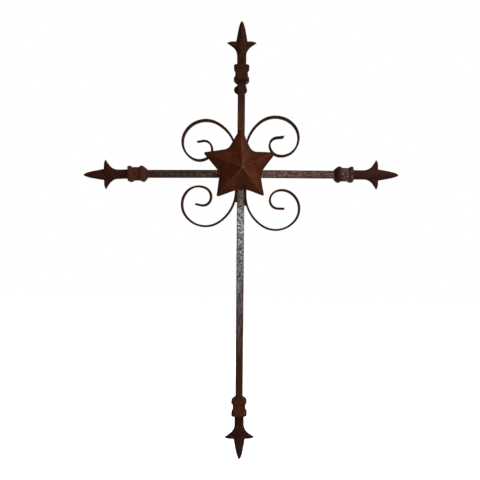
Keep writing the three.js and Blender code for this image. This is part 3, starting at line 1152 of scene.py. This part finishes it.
# %% How each end is set
limbs = {
    "top": dict(angle=0, lean=0, seed=2, rubbing_and_highlight=0.1, slip=0, neck=0),
    "right": dict(angle=90, lean=0, seed=7, rubbing_and_highlight=0, slip=-1.4, neck=2.2),
    "bottom": dict(angle=180, lean=0.7, seed=11, rubbing_and_highlight=0.5, slip=1.3, neck=0),
    "left": dict(angle=-90 - left_arm_lean, lean=1, seed=17, rubbing_and_highlight=0.6, slip=0, neck=1.6),
}
wall_plane = 0
sand = dict(depth=0.24, dent=7)
sand_grain = dict(depth=0.09, dent=1.8)
rub_fade, slip_fade = 2, 6
pattern_points = points_of(casting)
height = pattern_points[:, 2]
on_collar = ease((collar_length + rub_fade / 2 - height) / rub_fade)
near_collar = ease((collar_length + slip_fade - height) / slip_fade)
at_neck = ease(1 - height / (neck_taper + flange_land))
print("points on the collar:", int((on_collar > 0.5).sum()), "of", len(height))


# %% Cast the four ends and set them on their limbs
def cast(name, angle, lean, seed, rubbing_and_highlight, slip, neck):
    """One spear end: its collar slipped along the limb and its neck drawn out, in millimetres."""
    low, high = (np.array(corner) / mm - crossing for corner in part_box(f"{name}_finial"))
    reach = {"top": high[2], "right": high[0], "bottom": -low[2], "left": -low[0]}[name]
    pivot = socket_depth / 2
    seat = reach - casting_length + pivot
    along_limb = slip * near_collar - neck * at_neck
    points = pattern_points + along_limb[:, None] * [0, 0, 1] - [0, 0, pivot]
    points = turn_about_crossing(points, -lean) + [0, 0, seat]
    spear = bpy.data.objects.new(f"{name}_spear", casting.data.copy())
    scene.collection.objects.link(spear)
    move_points(spear, turn_about_crossing(points, angle) + crossing)
    hammer(spear, seed=seed, **sand)
    hammer(spear, seed=seed + 1, **sand_grain)
    points = points_of(spear)
    points[:, 1] = np.minimum(points[:, 1], wall_plane)
    move_points(spear, points)
    store(spear, "rub_and_highlight", on_collar * rubbing_and_highlight)
    finish = rubbed_casting if name == "right" else casting_rust
    fit(spear, finish, "dark_casting", f"{name}_finial")


for name, limb in limbs.items():
    cast(name, **limb)
bpy.data.objects.remove(casting)

# %% [markdown]
# ## The scrolls
#
# A scroll is flat bar bent the easy way: the strip stands on its edge, and the bends tighten
# from the upright to the curl. A formula for a spiral would be short, but it makes four
# perfect twins, and a smith works by eye. So each scroll is written the way it was bent, as
# six bends with a radius and a turn in degrees. The radii are shares of one scroll radius.
# Walking along bend by bend gives the centre line, and a strip section is carried along it.
# Two of the strips twist on their way, and one is cut off at a slant.

# %% Sizes of the strip
strip_thick = 3.5
strip_deep = 12.7
strip_round = 0.85
strip_end = 0.7
scroll_radius = 65
leg_gap = 0.3
foot_gap = 2
scroll_step = 1.4
twist_spread = 0.16
strip = rounded_section(strip_thick, strip_deep, strip_round, corner_steps=3, side_steps=5)
scrolls = {
    "top_left": dict(side=-1, up=1, rise=0.51, end=0.15, twist=-8, twist_at=1, bends=[
        (0.945, 63.5), (0.64, 87), (0.51, 91), (0.385, 68.5), (0.26, 85), (0.205, 66)]),
    "top_right": dict(side=1, up=1, rise=0.6, end=0.2, twist=0, twist_at=1, slant=-0.55, bends=[
        (1, 51.5), (0.66, 82.5), (0.52, 70), (0.46, 70), (0.295, 79.5), (0.205, 90.5)]),
    "bottom_left": dict(side=-1, up=-1, rise=0.46, end=0.16, twist=8, twist_at=0.78, bends=[
        (1, 57.5), (0.645, 89), (0.525, 73.5), (0.415, 78), (0.26, 86), (0.215, 77.5)]),
    "bottom_right": dict(side=1, up=-1, rise=0.555, end=0.17, twist=0, twist_at=1, bends=[
        (0.985, 58), (0.655, 85), (0.51, 95.5), (0.415, 55), (0.26, 68.5), (0.22, 87)]),
}
print("strip:", strip_thick, "by", strip_deep, "mm, its section", len(strip), "points")


# %% Walk the centre line of a scroll
def direction(heading):
    """One millimetre in the way of a heading in radians."""
    return np.array([math.cos(heading), math.sin(heading)])


def scroll_line(rise, end, bends):
    """Places (x, z) and headings along a scroll, as if it were the one above the right arm."""
    x = bar_half + leg_gap + strip_thick / 2
    leg_foot, leg_top = bar_half + leg_gap + foot_gap, rise * scroll_radius
    heading = math.pi / 2
    leg = np.linspace(leg_foot, leg_top, int((leg_top - leg_foot) / scroll_step) + 2)
    line = [(x, z, heading) for z in leg]
    at = np.array([x, leg_top])
    for share, sweep in bends:
        radius = share * scroll_radius
        steps = math.ceil(radius * math.radians(sweep) / scroll_step)
        turn = math.radians(sweep) / steps
        chord = 2 * radius * math.sin(turn / 2)
        for _ in range(steps):
            at = at + chord * direction(heading - turn / 2)
            heading -= turn
            line.append((*at, heading))
    run = end * scroll_radius
    steps = math.ceil(run / scroll_step)
    for step in range(steps):
        line.append((*(at + direction(heading) * run * (step + 1) / steps), heading))
    return np.array(line)


for name, shape in scrolls.items():
    line = scroll_line(shape["rise"], shape["end"], shape["bends"])
    length = np.linalg.norm(np.diff(line[:, :2], axis=0), axis=1).sum()
    print(f"{name}: {length:.0f} mm of strip")


# %% [markdown]
# ### Bending the strip
#
# At every step the strip needs to know which way is across and which way is deep. Across is
# in the plane of the cross and deep runs front to back, unless the strip is twisted there.
# The cut ends are eased by shrinking the last row, because a sheared end is filed before the
# piece goes on a wall.


# %% Carry the strip along the line
def scroll_rows(side, up, twist, twist_at, slant=0.0, **shape):
    """The strip's section at every step of its line, as rows for a skin."""
    line = scroll_line(**shape)
    last = len(line) - 1
    rows = []
    for i, (x, z, heading) in enumerate(line):
        off = min(1, abs(i / last - twist_at) / twist_spread)
        lean = math.radians(twist) * (1 - ease(off))
        onward = np.array([side * math.cos(heading), 0, up * math.sin(heading)])
        deep = np.array([0, math.cos(lean), 0]) + math.sin(lean) * np.cross(onward, [0, 1, 0])
        across = np.cross(deep, onward)
        place = np.array([side * x, 0, up * z])
        rows.append(place + strip[:, :1] * across + strip[:, 1:] * deep)
    for row, inner in ((rows[0], rows[1]), (rows[-1], rows[-2])):
        centre = row.mean(0)
        filed = centre + (row - centre) * (1 - strip_end / strip_thick)
        inner[:] = row + (inner - row) * strip_end / scroll_step
        row[:] = filed
    for row in rows[-2:]:
        row += slant * strip[:, :1] * onward
    return rows


print("top left scroll:", len(scroll_rows(**scrolls["top_left"])), "rows")


# %% Forge the four scrolls
scroll_bow = dict(depth=0.14, dent=16)
scroll_dents = dict(depth=0.06, dent=3)
for seed, (name, shape) in enumerate(scrolls.items()):
    points, faces = skin(scroll_rows(**shape))
    piece = forge(f"{name}_scroll_strip", points + crossing, faces)
    hammer(piece, seed=30 + seed, **scroll_bow)
    hammer(piece, seed=40 + seed, **scroll_dents)
    fit(piece, scroll_rust, "rusted_strip", f"{name}_scroll")

# %% [markdown]
# ## The star
#
# The star is pressed from thin sheet over a former, as five ridges that meet at one point,
# and the point sits off its middle. Ten flat triangles would give its facets, but their
# creases would be sharper than sheet can bend. So rings of points are drawn from the point
# out to the rounded outline, each a smaller copy of the outline, and straight facets follow
# by themselves. Every ring is then blurred along itself by the same few millimetres, which
# rounds the ridges and the folds between them. The inside is a second set of rings, one
# sheet's thickness behind the first.

# %% Sizes of the star
star_radius = 68
star_rise = 13.9
star_left = 1.8
star_height = 22
star_point = np.array([5.8, -5.4])
star_rim = 2
star_sheet = 1.2
star_back = bar_half + leg_gap
tip_round, side_round, top_round = 2.4, 7.5, 14
star_tips = [(0.98, 89), (0.99, 161), (1, 234), (1.01, 309), (0.99, 380)]
star_valleys = [(0.515, 124), (0.545, 200), (0.58, 276), (0.56, 339), (0.47, 409)]
print("star:", star_radius, "mm from middle to tip,", star_height, "mm high")


# %% Round a corner of an outline
def rounded_corner(before, corner, after, radius, steps=8):
    """Points round a corner between its neighbours, with the given radius."""
    back = (before - corner) / np.linalg.norm(before - corner)
    on = (after - corner) / np.linalg.norm(after - corner)
    half = math.acos(np.clip(back @ on, -1, 1)) / 2
    middle = (back + on) / np.linalg.norm(back + on) * radius / math.sin(half) + corner
    start = corner + back * radius / math.tan(half) - middle
    end = corner + on * radius / math.tan(half) - middle
    sweep = math.atan2(start[0] * end[1] - start[1] * end[0], start @ end)
    angles = np.linspace(0, sweep, steps + 1)
    return [middle + [start[0] * math.cos(a) - start[1] * math.sin(a),
                      start[0] * math.sin(a) + start[1] * math.cos(a)] for a in angles]


ways = np.eye(2) * 9
bend = rounded_corner(ways[0], np.zeros(2), ways[1], radius=2)
print("a right angle is rounded from", bend[0].round(1), "to", bend[-1].round(1))


# %% Draw the star's outline
def star_outline(spacing=1.2):
    """Evenly spaced points round the star, counted from its top tip."""
    pairs = [corner for both in zip(star_tips, star_valleys) for corner in both]
    corners = [star_radius * share * direction(math.radians(angle)) for share, angle in pairs]
    loop = []
    for i, corner in enumerate(corners):
        valley_round = top_round if corner[1] > 0 else side_round
        radius = tip_round if i % 2 == 0 else valley_round
        loop += rounded_corner(corners[i - 1], corner, corners[(i + 1) % len(corners)], radius)
    loop = np.array(loop + loop[:1])
    run = np.concatenate([[0], np.cumsum(np.linalg.norm(np.diff(loop, axis=0), axis=1))])
    even = np.arange(0, run[-1], run[-1] / round(run[-1] / spacing))
    return np.column_stack([np.interp(even, run, loop[:, 0]), np.interp(even, run, loop[:, 1])])


outline = star_outline()
print("star outline:", len(outline), "points,", np.ptp(outline, axis=0).round(1), "mm")


# %% Draw one ring of the star
def star_ring(share, blur, inset=0.0):
    """The outline drawn towards the point: all of it at share 1, the point itself at share 0."""
    loop = outline
    if inset:
        step = np.roll(loop, -1, 0) - np.roll(loop, 1, 0)
        inward = np.column_stack([-step[:, 1], step[:, 0]])
        loop = loop + inward / np.linalg.norm(step, axis=1)[:, None] * inset
    ring = star_point + (loop - star_point) * share
    spacing = np.linalg.norm(np.roll(ring, -1, 0) - ring, axis=1).mean()
    reach = np.fft.rfftfreq(len(ring)) * 2 * math.pi * blur / max(spacing, 0.01)
    fade = np.exp(-reach ** 2 / 2)[:, None]
    return np.fft.irfft(np.fft.rfft(ring, axis=0) * fade, len(ring), axis=0)


def star_row(ring, front):
    """A ring set over the crossing, at a height in front of the star's back plane."""
    depth = np.full(len(ring), -star_back - front)
    return np.column_stack([ring[:, 0] - star_left, depth, ring[:, 1] + star_rise])


print("half way out a ring is", np.ptp(star_ring(0.5, 0), axis=0).round(1), "mm")


# %% Slope and creases of the star
point_round = 0.045
crease_blur, crease_fade = 1.7, 0.12


def star_front(share):
    """Height of the front over the star's back plane at a share of the way to its outline."""
    soft_share = math.hypot(share, point_round) - point_round
    full = math.hypot(1, point_round) - point_round
    return star_rim + (star_height - star_rim) * (1 - soft_share / full)


def crease(share):
    """How far a ring is blurred: the same everywhere, but not at the cut edge."""
    return crease_blur * float(ease((1 - share) / crease_fade))


print("half way out the front is", round(star_front(0.5), 1), "mm high")

# %% Rows of the star's front, cut edge and inside
point_sink = 0.35 * point_round
first_share, last_share = 0.004, 0.985
front_rings, back_rings = 64, 24
rim_ease, rim_turns = 0.7, (0.35, 0.7, 1)
edge_start, edge_lift, edge_ease = 0.9, 0.25, 0.3
slope_thickness = 1.25 * star_sheet


def star_rows():
    """Rows from the point over the front, round the cut edge and back inside, with shares."""
    rows, shares = [], []
    for share in np.linspace(first_share, last_share, front_rings):
        rows.append(star_row(star_ring(share, crease(share)), star_front(share) - point_sink))
        shares.append(share)
    for turn in rim_turns:
        angle = turn * math.pi / 2
        drop, out = rim_ease * (1 - math.cos(angle)), rim_ease * (1 - math.sin(angle))
        rows.append(star_row(star_ring(1, 0, out), star_rim - drop))
    edge = [(edge_start, 0), (edge_lift, 0), (0, edge_ease), (0, star_sheet - edge_ease),
            (edge_lift, star_sheet)]
    for front, inset in edge:
        rows.append(star_row(star_ring(1, 0, inset), front))
    shares += [1] * (len(rim_turns) + len(edge))
    for share in np.linspace(last_share, first_share, back_rings):
        inset = star_sheet * (1 - crease(share) / crease_blur)
        ring = star_ring(share, crease(share), inset)
        rows.append(star_row(ring, star_front(share) - slope_thickness))
        shares.append(share)
    return rows, np.array(shares)


print("star:", len(star_rows()[0]), "rows")


# %% [markdown]
# ### Pressing the star and marking its pits and painted highlights
#
# Two measures go to the finish. One, rim, grows towards the cut edge, where rust pits crowd.
# The other sets how strong a painted highlight each ridge gets, stronger on some ridges than
# on others, and it peaks at the point, which stands out most. Painting a mask would do, but
# these two follow from the angle of each point and from how far out its ring is.

# %% Press the star
# Painted highlight: how strongly each ridge is lightened, and how much more at the point
ridge_highlights = [1.0, 0.5, 0.75, 0.8, 0.3]
point_highlight, point_spread = 1.5, 0.05
pits_from = 0.55


def press_star():
    """The star's mesh with its two measures."""
    rows, shares = star_rows()
    points, faces = skin(rows)
    piece = forge("pressed_star", points + crossing, faces)
    outward = np.clip((shares - pits_from) / (1 - pits_from), 0, 1)
    store(piece, "rim", np.repeat(outward, len(outline)))
    turn = np.degrees(np.arctan2(outline[:, 1], outline[:, 0])) % 360
    tips = [angle for _, angle in star_tips]
    rubbing_and_highlight = np.interp(turn, tips, ridge_highlights, period=360)
    at_point = 1 + point_highlight * np.exp(-(shares / point_spread) ** 2)
    store(piece, "rub_and_highlight", np.outer(at_point, rubbing_and_highlight).ravel())
    return piece


star = press_star()
hammer(star, depth=0.6, dent=17, seed=50, inward=0.3)
hammer(star, depth=0.1, dent=3, seed=51)
fit(star, star_rust, "rusted_sheet", "star")

# %% [markdown]
# ## The hanging ring
#
# A short length of bar is bent into a small oval and welded flat behind the upright, just
# under the top collar. The nail goes into it, so it is all that holds the cross up. It lies
# between the back of the bar and the wall, and only its two sides show from the front. A
# torus is round in plan and in section. This ring is neither, so a rounded section is carried
# round an oval, and its last row joins its first.

# %% Bend the ring
ring_wide, ring_high = 23.2, 16.6
ring_stock = 5
ring_round = 1.5
ring_steps = 96
ring_low, ring_top = (np.array(corner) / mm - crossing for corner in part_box("hanging_ring"))
ring_centre = (ring_low + ring_top) / 2
ring_section = rounded_section(ring_stock, ring_top[1] - ring_low[1], ring_round)
radius_x = (ring_wide - ring_stock) / 2 + ring_section[:, 0]
radius_z = (ring_high - ring_stock) / 2 + ring_section[:, 0]
ring_rows = []
for angle in np.arange(ring_steps) / ring_steps * 2 * math.pi:
    x, z = radius_x * math.cos(angle), radius_z * math.sin(angle)
    ring_rows.append(ring_centre + np.column_stack([x, ring_section[:, 1], z]))
points, faces = skin(ring_rows, closed=True)
ring = forge("nail_ring", points + crossing, faces)
hammer(ring, depth=0.15, dent=5, seed=60, inward=0.4)
fit(ring, casting_rust, "dark_casting", "hanging_ring")
print("ring hole:", ring_wide - 2 * ring_stock, "by", round(ring_high - 2 * ring_stock, 1), "mm")

# %% [markdown]
# ## The welds
#
# The cross is welded, not riveted, and an honest model shows it. A weld bead is a row of small
# overlapping puddles. Single drops could be set one behind the other, but they would be many
# meshes for a seam of a few millimetres. So a bead is one tube along the seam whose thickness
# ripples, with tapered ends.

# %% Lay a weld bead
bead_step = 0.45
bead_sides = 14
bead_flat = 0.75
ripple_length, ripple_share = 2.2, 0.12
bead_taper = 8
thinnest_end = 0.02
bead_lump, lump_width = 0.12, 0.9


def bead(name, start, end, radius, seed):
    """A rippled bead from start to end, in millimetres from the crossing."""
    start, end = np.array(start, float), np.array(end, float)
    length = np.linalg.norm(end - start)
    onward = (end - start) / length
    side = np.cross(onward, [0, 1, 0])
    side /= np.linalg.norm(side)
    lift = np.cross(side, onward)
    turn = np.arange(bead_sides) / bead_sides * 2 * math.pi
    rows = []
    for run in np.linspace(0, length, int(length / bead_step) + 2):
        taper = math.sqrt(max(thinnest_end, 1 - (2 * run / length - 1) ** bead_taper))
        ripple = 1 + ripple_share * abs(math.sin(math.pi * run / ripple_length + seed))
        reach = radius * taper * ripple
        across = np.cos(turn)[:, None] * side * reach
        deep = np.sin(turn)[:, None] * lift * reach * bead_flat
        rows.append(start + onward * run + (across + deep))
    points, faces = skin(rows)
    piece = forge(name, points + crossing, faces)
    hammer(piece, radius * bead_lump, radius * lump_width, seed)
    fit(piece, weld_rust, "dark_casting")


# %% [markdown]
# ### The wedges beside the upright
#
# Where a scroll leaves the upright, the smith filled the narrow wedge between the two with
# weld metal, and that filling shows from the front below the star. A boolean between bar and
# scroll would find the gap, but the gap is already known from the centre line: at each
# height it is the distance from the strip to the bar. So the filling is a stack of rounded
# sections as wide as the gap, with the ripples of a bead on its front and back.

# %% Fill the wedges between scrolls and upright
wedge_width = 2.8
wedge_sink = 0.7
wedge_run_in = 12
wedge_rows = 40
wedge_overlap = 0.9
wedge_ripple = 0.35
wedge_taper, wedge_thinnest = 10, 0.03
wedge_round = 0.6
end_depth, depth_gain = 0.86, 0.14
corner_least = 0.2


def wedge(name, shape):
    """Weld metal between the upright and a scroll, from the leg to where the gap is too wide."""
    side, up = shape["side"], shape["up"]
    line = scroll_line(shape["rise"], shape["end"], shape["bends"])
    place, heights = np.arange(len(line)), line[:, 1]
    gaps = line[:, 0] - strip_thick / 2 - bar_half
    start = np.argmax(heights > shape["rise"] * scroll_radius - wedge_run_in)
    stop = np.argmax((gaps > wedge_width) & (heights > 0))
    rows = []
    for i in np.linspace(start, stop, wedge_rows):
        z, gap = np.interp(i, place, heights), np.interp(i, place, gaps)
        fade = 1 - max(0, (i - start) / (stop - start)) ** wedge_taper
        fade = math.sqrt(max(wedge_thinnest, fade))
        ripple = wedge_ripple * abs(math.sin(math.pi * z / ripple_length))
        deep = (bar_half - wedge_sink + ripple) * (end_depth + depth_gain * fade)
        corner = min(wedge_round, gap / 2 + corner_least)
        loop = rounded_section(gap + wedge_overlap, 2 * deep, corner, side_steps=8)
        x = side * (bar_half + gap / 2 + loop[:, 0])
        rows.append(np.column_stack([x, loop[:, 1], np.full(len(loop), up * z)]))
    points, faces = skin(rows)
    piece = forge(name, points + crossing, faces)
    hammer(piece, depth=0.15, dent=1.8, seed=70 + side + 2 * up)
    fit(piece, weld_rust, "dark_casting")


for name, shape in scrolls.items():
    wedge(f"{name}_wedge_weld", shape)

# %% [markdown]
# ### The beads and the tacks
#
# Behind the crossing, one bead joins each arm to the upright. The ring is held by two beads on
# each side: a long one down the corner of the bar, and a short one at its top. They could be
# placed by eye, but they all follow the bar, so they are written as distances from its corners
# and from the ring's middle. The star is only tacked where it lies on the bars, with a bead at
# each side, one under its top tip and one below, and each tack is written as its two ends.

# %% Weld the arms and the ring
arm_bead_short = 1
eye_bead_out, eye_bead_behind, eye_bead_reach = 1.2, 0.9, 6.4
ring_bead_in, ring_bead_behind = 0.4, 0.4
ring_bead_from, ring_bead_to = 4.5, 8.6


def upright_bead(name, x, y, low, high, radius, seed):
    """A bead that runs straight up from low to high."""
    bead(name, (x, y, low), (x, y, high), radius, seed)


ring_z = ring_centre[2]
for side, label in ((-1, "left"), (1, "right")):
    seam = side * (bar_half + leg_gap / 2)
    arm_reach = bar_half - arm_bead_short
    upright_bead(f"{label}_arm_weld", seam, bar_half, -arm_reach, arm_reach, 1.8, 80 + side)
    upright_bead(
        f"{label}_eye_weld", side * (bar_half + eye_bead_out), bar_half + eye_bead_behind,
        ring_z - eye_bead_reach, ring_z + eye_bead_reach, 1.3, 86 + side,
    )
    upright_bead(
        f"{label}_ring_weld", side * (bar_half - ring_bead_in), bar_half + ring_bead_behind,
        ring_z + ring_bead_from, ring_z + ring_bead_to, 1.5, 84 + side,
    )

# %% Tack the star
tack_proud = 0.6
tack_radius = 1.9
tacks = {
    "left_star_tack": ((-39.5, -4.6), (-37, 4.4)),
    "right_star_tack": ((35.2, 5.0), (33.8, -4.8)),
    "top_star_tack": ((-4.8, 68), (-3.6, 74)),
    "low_star_tack": ((-4, -26.4), (4.5, -26.8)),
}
tack_y = -bar_half - tack_proud
for seed, (name, ends) in enumerate(tacks.items()):
    (x0, z0), (x1, z1) = ends
    bead(name, (x0, tack_y, z0), (x1, tack_y, z1), tack_radius, 90 + seed)
